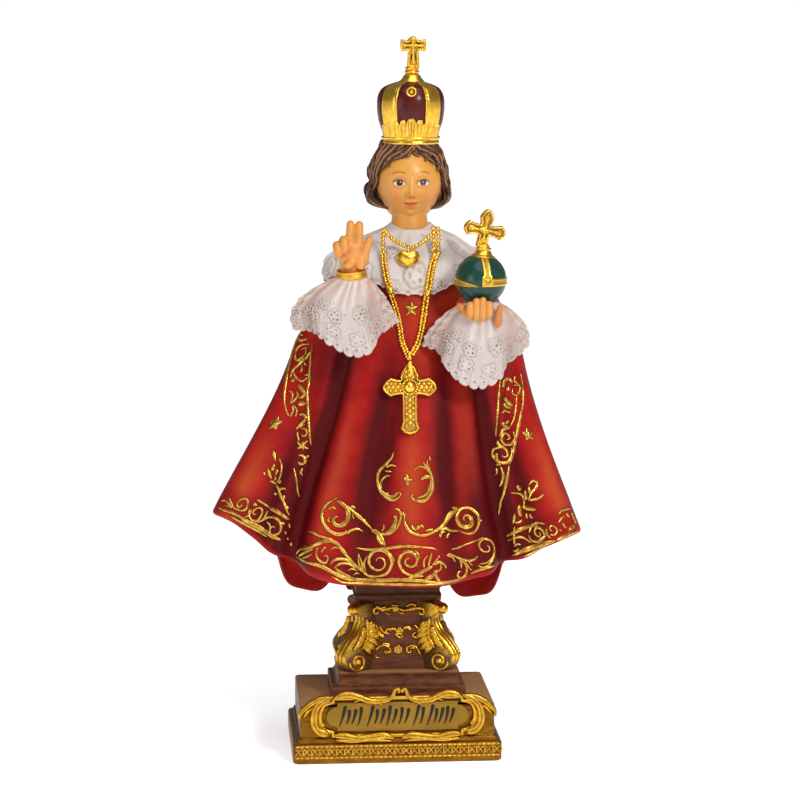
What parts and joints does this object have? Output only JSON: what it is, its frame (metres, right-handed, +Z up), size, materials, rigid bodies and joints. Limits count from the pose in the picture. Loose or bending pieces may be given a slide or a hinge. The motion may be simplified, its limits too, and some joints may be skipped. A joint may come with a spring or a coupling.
{
  "type": "infant of prague statuette",
  "caption": "Painted resin statuette of a crowned child in a flared robe, one hand blessing and one holding an orb, on a scrolled pedestal with a name plate",
  "frame": {"origin": "middle of the flat underside of the base slab", "axes": "+Z up; the figure faces -Y; +X towards the hand that holds the orb"},
  "size_m": [0.1023, 0.0586, 0.2002],
  "materials": {
    "robe_red": "satin painted resin",
    "lace_white": "matt painted resin",
    "skin_paint": "satin painted resin",
    "hair_brown": "satin painted resin",
    "gold_paint": "gold paint, antiqued in the recesses",
    "crown_purple": "satin painted resin",
    "orb_green": "gloss painted resin",
    "pedestal_brown": "satin painted resin, wood colour",
    "plate_brass": "brushed"
  },
  "bodies": {
    "root": {"figure": "robe_red", "pedestal": "pedestal_brown", "nameplate": "plate_brass"}
  },
  "joints": []
}
